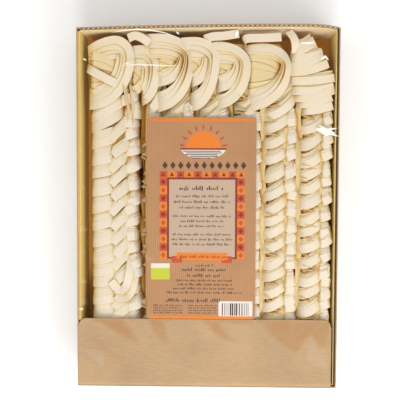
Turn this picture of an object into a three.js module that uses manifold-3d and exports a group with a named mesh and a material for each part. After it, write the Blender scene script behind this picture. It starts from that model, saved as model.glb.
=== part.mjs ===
// A sealed pack of dry ribbon pasta: a shallow corrugated kraft tray that lies on its back,
// seven twisted nests of flat ribbons side by side in it, a paper label on the nests,
// and a clear film across the front.
//
// Units are millimetres. X runs across the pack, Y along it towards its top wall, Z up out of
// the tray's open front. The origin is the middle of the underside, on the surface it lies on.

import * as THREE from "three";
import { mergeVertices } from "three/addons/utils/BufferGeometryUtils.js";
import Module from "manifold-3d";

const wasm = await Module();
wasm.setup();

// ---- Driving dimensions -------------------------------------------------------------------

const TRAY = { width: 229, length: 316, depth: 48, board: 2.6 };
const FLAP = { reach: 60, corner: 8 };
const LABEL = { left: -53.4, right: 42.9, top: 81, thickness: 0.4, corner: 2.5 };
const FILM = { overhang: 0.5, thickness: 0.3, corner: 1.5 };
const FIT = 0.3; // clearance between pieces that touch
const WELD = 0.01; // corners closer than this are one
const RIBBON = { width: 7.6, thickness: 1.2 };

// Where each nest lies across the tray, how high its crown stands, where its top turn ends and
// how far a band climbs from the left flank to the crease that parts the broad lobe from the
// narrow one. Creases are given as shares of the nest's width, and a tail is a cut ribbon end
// that lies over the open end.
const NESTS = [
  { left: -109.8, right: -59.7, crown: 44.2, top: 152, climb: 17, crease: 0.76, fold: 0.45 },
  { left: -59.1, right: -39.6, crown: 42.6, top: 150, climb: 12, crease: 0.7, tail: true },
  { left: -39.0, right: -11.2, crown: 46.2, top: 153, climb: 12, crease: 0.72 },
  { left: -10.6, right: 19.9, crown: 46.6, top: 152, climb: 11, crease: 0.72 },
  { left: 20.5, right: 48.7, crown: 46.2, top: 153, climb: 11, crease: 0.72, tail: true },
  { left: 49.3, right: 80.2, crown: 45.8, top: 153, climb: 11, crease: 0.74, tail: true },
  { left: 80.8, right: 111.3, crown: 45.4, top: 147, climb: 11, crease: 0.72 },
];
const BAND = { pitch: 10.6, wander: 1.4, step: 1.8 };
const LOBE = { lip: 0.09, creaseDepth: 4.2, foldDepth: 1.8, softness: 0.06 };
// The tops of all nests lean to the left: the lean starts here and is this far at the wall.
const TOP_LEAN = { start: 112, end: 152, shift: 17 };
const TOP_TURN = { length: 34, lift: 7.5, sunk: 0.36 };
const NEST_FOOT = TRAY.board + FIT; // the nests lie on the tray's floor
const FLAP_EDGE = -TRAY.length / 2 + FLAP.reach;
const UNDER_FLAP = TRAY.depth - TRAY.board - FIT; // and reach this high where the flap covers them
const NEST_START = -TRAY.length / 2 + TRAY.board + 1; // and stop short of its bottom wall

// ---- Colours ------------------------------------------------------------------------------

const kraft = new THREE.MeshStandardMaterial({ color: 0xcba981, roughness: 0.9 });
const semolina = new THREE.MeshStandardMaterial({ color: 0xe6d5b6, roughness: 0.75 });
const printedPaper = new THREE.MeshStandardMaterial({ color: 0xc5966c, roughness: 0.7 });
const clearFilm = new THREE.MeshStandardMaterial({
  color: 0xffffff,
  roughness: 0.08,
  transparent: true,
  opacity: 0.25,
});

// ---- Solids from meshes and back ----------------------------------------------------------

// A closed mesh with its corners on a micron grid and the shared ones merged, as a solid.
function solidFrom(geometry) {
  const plain = geometry.index ? geometry.toNonIndexed() : geometry.clone();
  plain.deleteAttribute("normal");
  plain.deleteAttribute("uv");
  const positions = plain.attributes.position.array;
  positions.forEach((value, i) => {
    positions[i] = Math.round(value * 1000) / 1000;
  });
  const merged = mergeVertices(plain, 1e-4);
  return new wasm.Manifold(
    new wasm.Mesh({
      numProp: 3,
      vertProperties: merged.attributes.position.array,
      triVerts: new Uint32Array(merged.index.array),
    }),
  );
}

// The mesh of a solid, without the slivers that joining leaves: corners closer than the weld
// size become one, and triangles that lose a corner by it are dropped.
function geometryFrom(solid) {
  const mesh = solid.getMesh();
  const geometry = new THREE.BufferGeometry();
  geometry.setAttribute("position", new THREE.BufferAttribute(mesh.vertProperties, 3));
  geometry.setIndex(new THREE.BufferAttribute(mesh.triVerts, 1));
  const merged = mergeVertices(geometry, WELD);
  const corners = [...merged.index.array];
  const kept = [];
  for (let i = 0; i < corners.length; i += 3) {
    const triangle = corners.slice(i, i + 3);
    if (new Set(triangle).size === 3) {
      kept.push(...triangle);
    }
  }
  merged.setIndex(kept);
  merged.computeVertexNormals();
  return merged;
}

function joined(solids) {
  return solids.reduce((whole, piece) => whole.add(piece));
}

function boxBetween(low, high) {
  const size = high.map((value, i) => value - low[i]);
  const middle = high.map((value, i) => (value + low[i]) / 2);
  return solidFrom(new THREE.BoxGeometry(...size).translate(...middle));
}

// A flat plate from z to z + thickness, cut to a shape that is drawn in X and Y.
function plate(shape, z, thickness, curveSegments = 4) {
  const settings = { depth: thickness, bevelEnabled: false, curveSegments };
  return new THREE.ExtrudeGeometry(shape, settings).translate(0, 0, z);
}

function roundedRectangle(left, bottom, right, top, radius) {
  const quarter = Math.PI / 2;
  const shape = new THREE.Shape();
  shape.absarc(right - radius, bottom + radius, radius, -quarter, 0);
  shape.absarc(right - radius, top - radius, radius, 0, quarter);
  shape.absarc(left + radius, top - radius, radius, quarter, 2 * quarter);
  shape.absarc(left + radius, bottom + radius, radius, 2 * quarter, 3 * quarter);
  return shape;
}

// ---- The tray, of one folded board ----------------------------------------------------------

// The open front: all that the flap leaves, down to the flap's edge and round its two corners.
function frontOpening(x, y) {
  const { corner } = FLAP;
  const quarter = Math.PI / 2;
  const shape = new THREE.Shape();
  shape.moveTo(x, y);
  shape.lineTo(-x, y);
  shape.lineTo(-x, FLAP_EDGE - corner);
  shape.absarc(-x + corner, FLAP_EDGE - corner, corner, 2 * quarter, quarter, true);
  shape.absarc(x - corner, FLAP_EDGE - corner, corner, quarter, 0, true);
  return shape;
}

function trayGeometry() {
  const { width, length, depth, board } = TRAY;
  const [x, y] = [width / 2, length / 2];
  const [innerX, innerY] = [x - board, y - board];
  const block = boxBetween([-x, -y, 0], [x, y, depth]);
  const inside = boxBetween([-innerX, -innerY, board], [innerX, innerY, depth - board]);
  const opening = solidFrom(plate(frontOpening(innerX, innerY), depth / 2, depth));
  return geometryFrom(block.subtract(inside).subtract(opening));
}

// ---- The label and the film -----------------------------------------------------------------

function labelGeometry() {
  const { left, right, top, thickness, corner } = LABEL;
  const shape = roundedRectangle(left, FLAP_EDGE + FIT, right, top, corner);
  return plate(shape, TRAY.depth - thickness, thickness);
}

function filmGeometry() {
  const [x, y] = [TRAY.width / 2 + FILM.overhang, TRAY.length / 2 + FILM.overhang];
  return plate(roundedRectangle(-x, -y, x, y, FILM.corner), TRAY.depth + FIT, FILM.thickness, 2);
}

// ---- The nests ------------------------------------------------------------------------------

// A small repeatable random sequence from -1 to 1.
function wobbler(seed) {
  const modulus = 2147483647;
  let state = seed;
  return () => {
    state = (state * 16807) % modulus;
    return (2 * state) / modulus - 1;
  };
}

// The left and right edges of a nest at a place along it. The first nest leans only with its
// right edge, because its left one stands against the wall.
function edgesAt(nest, along) {
  const share = Math.max(0, (along - TOP_LEAN.start) / (TOP_LEAN.end - TOP_LEAN.start));
  const shift = TOP_LEAN.shift * share * share;
  return [nest === NESTS[0] ? nest.left : nest.left - shift, nest.right - shift];
}

// Stations across a nest, as shares of its width: over the front from left to right, with one
// in each crease, then back underneath.
function stations(nest) {
  const { lip } = LOBE;
  const broad = nest.fold
    ? [0.04, 0.2, nest.fold, nest.fold + 0.07, 0.62]
    : [0.06, 0.24, 0.48];
  return {
    front: [0, ...broad, nest.crease - lip, nest.crease, nest.crease + lip, 0.96, 1],
    back: [0.88, 0.12],
  };
}

function dipAt(across, place, depth) {
  return depth * Math.exp(-Math.pow((across - place) / LOBE.softness, 2));
}

// How high the front of a nest stands at a station: a flattened arch with creases in it.
function frontHeight(nest, across) {
  const waist = NEST_FOOT + 0.45 * (nest.crown - NEST_FOOT);
  const fullness = 2.8;
  const arch = Math.pow(Math.max(0, 1 - Math.pow(Math.abs(2 * across - 1), fullness)), 1 / fullness);
  const fold = nest.fold ? dipAt(across, nest.fold, LOBE.foldDepth) : 0;
  return waist + (nest.crown - waist) * arch - dipAt(across, nest.crease, LOBE.creaseDepth) - fold;
}

// How far along the nest a band has climbed at a station on its front: it leaves the left flank
// nearly level and climbs ever more steeply up to the crease.
function bandClimb(nest, across) {
  const share = Math.min(1, Math.max(0, across / nest.crease));
  return nest.climb * Math.pow(share, 1.7);
}

// One closed loop round a nest. Lean is the share of the climb it has, inset draws it in, to
// tuck a band's upper edge under the next one, and sunk is the share of its height that it lacks.
function loopAround(nest, along, { lean, inset, sunk = 0 }) {
  const { front, back } = stations(nest);
  const place = (across, climb, height) => {
    const y = along + lean * climb;
    const [left, right] = edgesAt(nest, y);
    const ceiling = y < FLAP_EDGE + RIBBON.width ? UNDER_FLAP : TRAY.depth;
    return [
      THREE.MathUtils.lerp(left + inset, right - inset, across),
      y,
      Math.min(height, ceiling),
    ];
  };
  const over = front.map((across) => {
    const height = NEST_FOOT + (1 - sunk) * (frontHeight(nest, across) - NEST_FOOT) - inset;
    return place(across, bandClimb(nest, across), height);
  });
  const under = back.map((across) => place(across, nest.climb * across, NEST_FOOT + inset));
  return [...over, ...under];
}

// A skin over a row of loops with the same number of points, closed at both ends.
function skinOver(loops) {
  const count = loops[0].length;
  const middleOf = (loop) => loop[0].map((_, axis) =>
    loop.reduce((sum, point) => sum + point[axis], 0) / count,
  );
  const positions = [...loops.flat(), middleOf(loops[0]), middleOf(loops.at(-1))];
  const [startCentre, endCentre] = [positions.length - 2, positions.length - 1];
  const lastLoop = (loops.length - 1) * count;
  const faces = [];
  for (let i = 0; i < count; i++) {
    const next = (i + 1) % count;
    for (let row = 0; row < lastLoop; row += count) {
      faces.push(row + i, row + next, row + count + next);
      faces.push(row + i, row + count + next, row + count + i);
    }
    faces.push(startCentre, next, i);
    faces.push(endCentre, lastLoop + i, lastLoop + next);
  }
  const geometry = new THREE.BufferGeometry();
  geometry.setAttribute("position", new THREE.Float32BufferAttribute(positions.flat(), 3));
  geometry.setIndex(faces);
  return geometry;
}

// Where the wound front stops, at the left flank, and the top turns go on over the sunk back.
function windingEnd(nest) {
  return nest.top - TOP_TURN.length;
}

// Loops for one band that lies from foot to head: full at its foot, tucked in at its head.
function bandLoops(nest, foot, head, leans, sunk) {
  return [
    loopAround(nest, foot, { lean: leans[0], inset: 0, sunk }),
    loopAround(nest, head, { lean: leans[1], inset: BAND.step, sunk }),
  ];
}

// The wound body of a nest: shingled bands that climb from the left flank to the crease, and
// above them the back half of the last turns, which stands lower.
function windingGeometry(nest, random) {
  const run = windingEnd(nest) - NEST_START;
  const bands = Math.round(run / BAND.pitch);
  const pitch = run / bands;
  const overlap = 1.6;
  const loops = [loopAround(nest, NEST_START, { lean: 0, inset: BAND.step })];
  for (let band = 0; band < bands; band++) {
    const leans = [Math.min(1, band / 2), Math.min(1, (band + 1) / 2)];
    const foot = NEST_START + band * pitch + (band ? BAND.wander * random() : 0.4);
    const head = NEST_START + (band + 1) * pitch - overlap;
    loops.push(...bandLoops(nest, foot, head, leans, 0));
  }
  const backBands = 2;
  const backEnd = nest.top - RIBBON.width / 2;
  const backPitch = (backEnd - windingEnd(nest)) / backBands;
  for (let band = 0; band < backBands; band++) {
    const foot = windingEnd(nest) + band * backPitch + 0.4;
    const leans = [1 - 0.42 * band, 1 - 0.42 * (band + 1)];
    loops.push(...bandLoops(nest, foot, foot + backPitch - overlap, leans, TOP_TURN.sunk + 0.02 * band));
  }
  return skinOver(loops);
}

// A flat ribbon of rectangular section along points that each carry the way its face looks.
function ribbonGeometry(points, width, thickness) {
  const loops = points.map(({ at, facing }, i) => {
    const before = points[Math.max(0, i - 1)].at;
    const after = points[Math.min(points.length - 1, i + 1)].at;
    const along = after.clone().sub(before).normalize();
    const across = along.clone().cross(facing).normalize();
    const out = across.clone().cross(along).normalize();
    const corner = (a, b) => at.clone()
      .addScaledVector(across, (a * width) / 2)
      .addScaledVector(out, (b * thickness) / 2)
      .toArray();
    return [corner(1, 1), corner(1, -1), corner(-1, -1), corner(-1, 1)];
  });
  return skinOver(loops);
}

// A ribbon that turns over the open end of a nest: out of the winding's front, round its right
// flank and back to the left over the sunk half. Angles are in degrees from the right flank.
// Reach is its size as a share of the nest's, and rise says between which shares of the open
// end's length it climbs.
function topTurn(nest, { from, to, steps, reach, rise }) {
  const axisHeight = nest.crown - TOP_TURN.lift - RIBBON.thickness;
  const openEnd = TOP_TURN.length - RIBBON.width / 2;
  const [start, end] = rise.map((share) => windingEnd(nest) + share * openEnd);
  const points = [];
  for (let i = 0; i <= steps; i++) {
    const share = i / steps;
    const angle = THREE.MathUtils.degToRad(THREE.MathUtils.lerp(from, to, share));
    const buried = 1 - 0.2 * Math.max(0, 1 - 5 * share);
    const y = THREE.MathUtils.lerp(start, end, share);
    const [left, right] = edgesAt(nest, y);
    const half = ((right - left) / 2 - RIBBON.thickness) * reach * buried;
    const facing = new THREE.Vector3(Math.cos(angle), 0.25, Math.sin(angle)).normalize();
    const at = new THREE.Vector3(
      (left + right) / 2 + half * Math.cos(angle),
      y,
      axisHeight + TOP_TURN.lift * reach * buried * Math.sin(angle),
    );
    points.push({ at, facing });
  }
  return solidFrom(ribbonGeometry(points, RIBBON.width, RIBBON.thickness));
}

function nestGeometry(nest, index) {
  const random = wobbler(97 + 31 * index);
  const body = solidFrom(windingGeometry(nest, random));
  const outOfFront = nest.fold ? 60 : 150;
  const turns = [
    { from: outOfFront, to: -170, steps: 14, reach: 1, rise: [-0.12, nest.tail ? 0.86 : 0.97] },
    { from: outOfFront - 10, to: -150, steps: 12, reach: 0.82, rise: [-0.12, 0.66] },
  ];
  if (nest.tail) {
    turns.push({ from: 200, to: 50, steps: 7, reach: 0.96, rise: [0.93, 0.98] });
  }
  return geometryFrom(joined([body, ...turns.map((turn) => topTurn(nest, turn))]));
}

// ---- The pack -------------------------------------------------------------------------------

function named(name, geometry, material) {
  const mesh = new THREE.Mesh(geometry, material);
  mesh.name = name;
  return mesh;
}

const pack = new THREE.Group();
pack.add(named("tray", trayGeometry(), kraft));
NESTS.forEach((nest, i) => pack.add(named(`nest_${i + 1}`, nestGeometry(nest, i), semolina)));
pack.add(named("label", labelGeometry(), printedPaper));
pack.add(named("film", filmGeometry(), clearFilm));

export default pack;
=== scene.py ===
import math
import random

import bmesh
import bpy
from bpy.props import FloatProperty, FloatVectorProperty, PointerProperty
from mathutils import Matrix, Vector


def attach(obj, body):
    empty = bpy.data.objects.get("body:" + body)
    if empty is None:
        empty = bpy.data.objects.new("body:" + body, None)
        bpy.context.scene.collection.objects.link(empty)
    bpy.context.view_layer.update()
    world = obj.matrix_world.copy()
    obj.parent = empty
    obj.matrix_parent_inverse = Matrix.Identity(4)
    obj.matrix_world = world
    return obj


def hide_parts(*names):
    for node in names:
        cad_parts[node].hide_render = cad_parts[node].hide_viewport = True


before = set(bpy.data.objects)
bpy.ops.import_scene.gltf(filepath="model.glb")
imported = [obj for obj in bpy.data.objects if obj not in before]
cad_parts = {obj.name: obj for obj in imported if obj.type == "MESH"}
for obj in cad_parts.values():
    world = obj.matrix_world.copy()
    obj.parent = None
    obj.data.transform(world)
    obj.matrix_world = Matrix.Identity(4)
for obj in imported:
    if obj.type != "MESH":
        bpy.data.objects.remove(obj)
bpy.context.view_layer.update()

bl_info = {
    "name": "Pasta nests in a kraft tray",
    "version": (1, 0, 0),
    "blender": (4, 5, 0),
    "location": "3D View > Sidebar > Pasta pack",
    "description": "Makes a sealed kraft tray of seven wound pasta nests, its label and its clear film",
    "category": "Add Mesh",
}

MM = 0.001
BODY = "root"

# The sizes below are the solids' own, in millimetres. X runs across the tray, Y along it, Z up out of it.
TRAY = {"width": 229.0, "length": 316.0, "depth": 48.0, "board": 2.6, "lift": 0.4, "liner": 0.35}
HALF_X, HALF_Y = TRAY["width"] / 2, TRAY["length"] / 2
FLAP = {"edge": -98.0, "corner": 7.0, "right": 110.4, "rim_drop": 2.0}
LABEL = {"left": -53.4, "right": 42.9, "bottom": -97.7, "top": 81.0, "height": 47.55, "paper": 0.2,
         "corner": 2.5}
FILM = {"overhang": 0.5, "front": 48.3}
# How far the top wall's rim is pushed out, and the share of its width where that is most.
BOW = {"rim": 3.2, "widest": 0.8}
# The fluted paper in the top wall's rim. Height is that of its waves, deep is how far down the strip reaches, and
# sunk how far below the rim it starts.
FLUTES = {"pitch": 4.2, "height": 1.7, "paper": 0.42, "deep": 9.8, "sunk": 0.2}
RIBBON = {"width": 7.6, "thickness": 0.9}
HALF_RIBBON = RIBBON["width"] / 2
NEST_FOOT = 2.9
NEST_START = -152.0
# Where along the tray the narrow bands end, on the first nest and on the others, and the last nest's wide ones.
NARROW_END, LAST_WIDE_END = {"first": 104, "other": 84}, 86
VALLEY_END = 118
# No nest stands higher than this under the flap.
UNDER_FLAP = 44.9
# One more ribbon on a stack moves the next band this much further up the tray.
LAYER_STEP = 1.6
# The first nest's slanted bands lie this far apart. Its left bands start at this share of its width, and it is
# this much wider at its foot.
LEAF_PITCH = 12.4
LEFT_BANDS = 0.085
FOOT_SPREAD = 2.6
# A loose ribbon at this height lies in full light.
OPEN_HEIGHT = 46.0
NEST_SEED = 41
NESTS = [
    {"left": -109.8, "right": -59.7, "crown": 44.2, "top": 152, "climb": 6, "crease": 0.80},
    {"left": -59.1, "right": -39.6, "crown": 42.6, "top": 150, "climb": 12, "crease": 0.70},
    {"left": -39.0, "right": -11.2, "crown": 46.2, "top": 153, "climb": 12, "crease": 0.72},
    {"left": -10.6, "right": 19.9, "crown": 46.6, "top": 152, "climb": 11, "crease": 0.72},
    {"left": 20.5, "right": 48.7, "crown": 46.2, "top": 153, "climb": 11, "crease": 0.72},
    {"left": 49.3, "right": 80.2, "crown": 45.8, "top": 153, "climb": 11, "crease": 0.72},
    {"left": 80.8, "right": 111.3, "crown": 45.4, "top": 147, "climb": 11, "crease": 0.72},
]
# Each top turn comes up from the left flank at start, meets the right flank at (flank, side), and goes back to
# the left over its highest place (peak, top) to its end, where it has come down by fall. Flank and top are its
# outer edges. Open is how far its face turns outwards on the flank, and gap how far the strips inside keep off
# its top. Hoops is how many ribbons lie in each other, step about how far each lies inside the last, and fan
# how much higher one starts for each millimetre inwards. The last nest has no turn: its bands go on to the top.
TURNS = [
    {"start": 91, "flank": -64, "side": 133, "peak": -80, "top": 152.5, "end": -106, "fall": 7,
     "open": 0.4, "gap": 0.0, "hoops": 4, "step": 1.9, "fan": 1.3},
    {"start": 95, "flank": -41, "side": 124, "peak": -60, "top": 144.5, "end": -74, "fall": 2,
     "open": 0.6, "gap": 0.0, "hoops": 5, "step": 2.5, "fan": 1.2},
    {"start": 89, "flank": -11, "side": 131, "peak": -42, "top": 154.0, "end": -56, "fall": -1,
     "open": 1.4, "gap": 3.0, "hoops": 6, "step": 2.1, "fan": 3.0},
    {"start": 90, "flank": 11, "side": 131, "peak": -14, "top": 151.0, "end": -30, "fall": 0,
     "open": 0.5, "gap": 0.0, "hoops": 5, "step": 2.2, "fan": 2.9},
    {"start": 91, "flank": 38, "side": 128, "peak": 12, "top": 147.0, "end": -2, "fall": 1,
     "open": 0.5, "gap": 0.5, "hoops": 5, "step": 2.0, "fan": 2.6},
    {"start": 90, "flank": 74, "side": 126, "peak": 46, "top": 145.5, "end": 32, "fall": 1,
     "open": 1.0, "gap": 0.0, "hoops": 5, "step": 1.5, "fan": 3.4},
    None,
]
# Free stretches of ribbon: over the turns, and in a curl at the first nest's foot. Each is a row of points,
# which may carry the way the ribbon faces there.
LOOSE = {
    0: [[(-107, 125, 36, -0.8, 0, 1), (-103, 122, 43), (-94, 117, 44.6), (-85, 112.5, 44.4), (-79, 110, 42)],
        [(-64, -50, 40, 0.3, 0.5, 1), (-65.2, -66, 44.2, 0.4, 0.5, 1), (-69.5, -77.5, 44.8, 0, 0.5, 1),
         (-76, -80, 44.6, -0.2, 0.4, 1), (-81.5, -77.5, 43.6, -0.4, 0.4, 1)],
        [(-68, -37, 39, 0.3, 0.5, 1), (-68.4, -54, 44.6, 0.4, 0.5, 1), (-72, -69, 45.4, 0, 0.5, 1),
         (-78, -72.5, 45.1, -0.2, 0.4, 1), (-85.5, -65, 44, -0.4, 0.4, 1)]],
    1: [[(-70, 150, 42.5), (-64, 152, 44.6), (-58, 150, 45), (-51, 145.5, 44.4)]],
    4: [[(-3, 149, 43), (4, 151, 45.2), (14, 151.6, 46), (27, 153.6, 45.6)]],
    5: [[(33, 145, 40, -0.9, 0, 0.4), (31.6, 148, 44.6, -0.9, 0, 0.7), (36, 149.5, 46.4), (50, 149.8, 46.8),
         (64, 150.6, 46.2)]],
    6: [[(77, 137, 44), (76.4, 144, 46.2, 0.2, 0, 1), (74.5, 150, 46.6, 0.4, 0, 1),
         (70.5, 155.5, 45, 0.6, 0, 1)]],
}


def linear(colour):
    """Turns an sRGB hex colour into linear red, green, blue and alpha. A setting is linear already."""
    if not isinstance(colour, int):
        return (*colour, 1.0)
    parts = [((colour >> shift) & 255) / 255 for shift in (16, 8, 0)]
    return tuple([p / 12.92 if p <= 0.04045 else ((p + 0.055) / 1.055) ** 2.4 for p in parts] + [1.0])


def darker(colour, share):
    """Gives a setting's colour at a share of its brightness."""
    return [value * share for value in colour]


def add(tree, kind, inputs=None, **settings):
    """Adds one node. An input, by name or number, takes a value, a node's output, or a node for its first."""
    made = tree.nodes.new(kind)
    for name, value in settings.items():
        setattr(made, name, value)
    for key, value in (inputs or {}).items():
        if isinstance(value, bpy.types.Node):
            value = value.outputs[0]
        if isinstance(value, bpy.types.NodeSocket):
            tree.links.new(value, made.inputs[key])
        else:
            made.inputs[key].default_value = value
    return made


def ramp(tree, factor, stops):
    """Adds a colour ramp with the stops given as (place, colour)."""
    made = add(tree, "ShaderNodeValToRGB", {0: factor})
    elements = made.color_ramp.elements
    while len(elements) < len(stops):
        elements.new(0.5)
    for element, (place, colour) in zip(elements, stops):
        element.position = place
        element.color = linear(colour)
    return made


def new_material(name):
    """Makes an empty material and gives its tree and its Object coordinates in millimetres.

    A noise at scale 1 then has grains of about 1 mm, and a wave at scale 1 is pi / 10 mm long.
    """
    material = bpy.data.materials.new(name)
    material.use_nodes = True
    tree = material.node_tree
    tree.nodes.clear()
    place = add(tree, "ShaderNodeTexCoord").outputs["Object"]
    place = add(tree, "ShaderNodeVectorMath", {0: place, 1: (1000, 1000, 1000)}, operation="MULTIPLY")
    return material, tree, place


# ---------------------------------------------------------------- materials

# Shade runs from 0, a ribbon's open face, to 1, the deepest gap. Each of these adds to it or sets it.
CUT_EDGE_SHADE = 1.0
CORE_SHADE = 0.34
# The label's pin-stripes stand this far apart, in millimetres.
STRIPE_PITCH = 1.77


def dried_pasta(settings):
    """Durum semolina pasta, rolled, cut and dried: cream and matt, painted golden as shade in its gaps and
    depths.
    """
    material, tree, place = new_material("Dried semolina pasta")
    shade = add(tree, "ShaderNodeAttribute", attribute_name="shade").outputs["Fac"]
    cloud = add(tree, "ShaderNodeTexNoise", {"Vector": place, "Scale": 0.12, "Detail": 3})
    cloud = add(tree, "ShaderNodeMath", {0: cloud, 1: 0.16, 2: -0.08}, operation="MULTIPLY_ADD")
    # Painted shade: cut edges, where the surface stands square to the ribbon's facing, are painted dark as shadow
    # lines.
    facing = add(tree, "ShaderNodeAttribute", attribute_name="facing").outputs["Vector"]
    normal = add(tree, "ShaderNodeNewGeometry").outputs["Normal"]
    level = add(tree, "ShaderNodeVectorMath", {0: facing, 1: normal}, operation="DOT_PRODUCT")
    level = add(tree, "ShaderNodeMath", {0: level.outputs["Value"]}, operation="ABSOLUTE")
    cut = add(tree, "ShaderNodeMapRange", {0: level, 1: 0.2, 2: 0.8, 3: CUT_EDGE_SHADE, 4: 0.0})
    # Painted shade: a gap of some millimetres is painted golden, for light that reaches it only through ribbons.
    open_sky = add(tree, "ShaderNodeAmbientOcclusion", {"Distance": 0.005}, samples=8, only_local=True)
    painted_gap_shade = add(tree, "ShaderNodeMapRange", {0: open_sky.outputs["AO"], 1: 0.94, 2: 0.2, 3: 0.0, 4: 0.8})
    for part in (cloud, cut, painted_gap_shade):
        shade = add(tree, "ShaderNodeMath", {0: shade, 1: part}, operation="ADD")
    # Painted shade: the more shade, the more golden and then brown the ramp paints the pasta.
    colour = ramp(tree, shade, [
        (0.0, settings.pasta), (0.14, 0xE8D9BB), (0.36, 0xE6D09A), (0.68, 0xDFB962), (1.0, 0xC08228)])
    # The semolina's own grains are under 0.4 mm and would not show, so they are drawn about 1 mm across.
    grain = add(tree, "ShaderNodeTexNoise", {"Vector": place, "Scale": 0.9, "Detail": 2})
    specks = add(tree, "ShaderNodeMapRange", {0: grain, 1: 0.55, 2: 0.8, 3: 0.0, 4: 0.18})
    colour = add(tree, "ShaderNodeMix", {0: specks, 6: colour, 7: linear(0xE3C99C)}, data_type="RGBA")
    surface = add(tree, "ShaderNodeBsdfPrincipled", {
        "Base Color": colour.outputs[2], "Roughness": 0.62, "IOR": 1.5, "Subsurface Weight": 0.08,
        "Subsurface Radius": (1.0, 0.7, 0.3), "Subsurface Scale": 0.0015,
        "Normal": add(tree, "ShaderNodeBump", {"Strength": 0.25, "Distance": 0.0002, "Height": grain})})
    add(tree, "ShaderNodeOutputMaterial", {0: surface})
    return material


def kraft_liner(name, pale, dark, foot=None):
    """Corrugated kraft board, pressed from brown pulp: matt, fibrous, with faint lines over its flutes."""
    material, tree, place = new_material(name)
    fibre = add(tree, "ShaderNodeMapping", {0: place, "Scale": (0.13, 0.9, 0.5)})
    fibre = add(tree, "ShaderNodeTexNoise", {"Vector": fibre, "Scale": 1.0, "Detail": 5})
    cloud = add(tree, "ShaderNodeTexNoise", {"Vector": place, "Scale": 0.022, "Detail": 4})
    pulp = add(tree, "ShaderNodeMath", {0: fibre, 1: 0.55}, operation="MULTIPLY")
    pulp = add(tree, "ShaderNodeMath", {0: cloud, 1: 0.6, 2: pulp}, operation="MULTIPLY_ADD")
    colour = ramp(tree, pulp, [(0.34, dark), (0.72, pale)])
    if foot:
        # Painted shade: the liner turns browner towards a wall's foot, lit only off the brown board round it.
        foot_shade_colour, high, low = foot
        z = add(tree, "ShaderNodeSeparateXYZ", {0: place}).outputs[2]
        down = add(tree, "ShaderNodeMapRange", {0: z, 1: high, 2: low, 3: 0.0, 4: 1.0})
        colour = add(tree, "ShaderNodeMix", {0: down, 6: colour, 7: linear(foot_shade_colour)}, data_type="RGBA")
        colour = colour.outputs[2]
    # The board is darker in a few soft wedges, which the flap's own attribute tells.
    wedge_darkness = add(tree, "ShaderNodeAttribute", attribute_name="wedge_darkness").outputs["Fac"]
    patchy = add(tree, "ShaderNodeTexNoise", {"Vector": place, "Scale": 0.045, "Detail": 3})
    patchy = add(tree, "ShaderNodeMapRange", {0: patchy, 1: 0.35, 2: 0.6, 3: 0.3, 4: 0.66})
    amount = add(tree, "ShaderNodeMath", {0: wedge_darkness, 1: patchy}, operation="MULTIPLY")
    colour = add(tree, "ShaderNodeMix", {0: amount, 6: colour, 7: linear(0xB28250)}, data_type="RGBA")
    flutes = add(tree, "ShaderNodeTexWave", {"Vector": place, "Scale": math.pi / 10 / FLUTES["pitch"],
                                             "Distortion": 0.4}, bands_direction="X")
    height = add(tree, "ShaderNodeMath", {0: flutes.outputs["Fac"], 1: 0.2, 2: fibre},
                 operation="MULTIPLY_ADD")
    surface = add(tree, "ShaderNodeBsdfPrincipled", {
        "Base Color": colour.outputs[2], "Roughness": 0.85,
        "Normal": add(tree, "ShaderNodeBump", {"Strength": 0.35, "Distance": 0.00025, "Height": height})})
    add(tree, "ShaderNodeOutputMaterial", {0: surface})
    return material


def striped_kraft_paper(settings):
    """Uncoated kraft label paper with a printed pin-stripe: dull, with a few fibres."""
    material, tree, place = new_material("Pin-striped kraft paper")
    x = add(tree, "ShaderNodeSeparateXYZ", {0: place})
    wave = add(tree, "ShaderNodeMath", {0: x, 1: 2 * math.pi / STRIPE_PITCH}, operation="MULTIPLY")
    wave = add(tree, "ShaderNodeMath", {0: wave}, operation="SINE")
    stripe = add(tree, "ShaderNodeMapRange", {0: wave, 1: -0.5, 2: 0.9, 3: 0.0, 4: 0.42})
    cloud = add(tree, "ShaderNodeTexNoise", {"Vector": place, "Scale": 0.035, "Detail": 4})
    base = ramp(tree, cloud, [(0.3, darker(settings.label_paper, 0.88)), (0.7, settings.label_paper)])
    colour = add(tree, "ShaderNodeMix", {0: stripe, 6: base, 7: linear(0xA06C3E)}, data_type="RGBA")
    surface = add(tree, "ShaderNodeBsdfPrincipled", {"Base Color": colour.outputs[2], "Roughness": 0.6})
    add(tree, "ShaderNodeOutputMaterial", {0: surface})
    return material


def print_ink(name, colour):
    """Matt offset ink on paper, slightly uneven where the paper drinks it."""
    material, tree, place = new_material(name)
    mottle = add(tree, "ShaderNodeTexNoise", {"Vector": place, "Scale": 0.6, "Detail": 3})
    amount = add(tree, "ShaderNodeMapRange", {0: mottle, 1: 0.4, 2: 0.75, 3: 0.0, 4: 0.12})
    mixed = add(tree, "ShaderNodeMix", {0: amount, 6: linear(colour), 7: linear(0xC79468)}, data_type="RGBA")
    surface = add(tree, "ShaderNodeBsdfPrincipled", {"Base Color": mixed.outputs[2], "Roughness": 0.55})
    add(tree, "ShaderNodeOutputMaterial", {0: surface})
    return material


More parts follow.
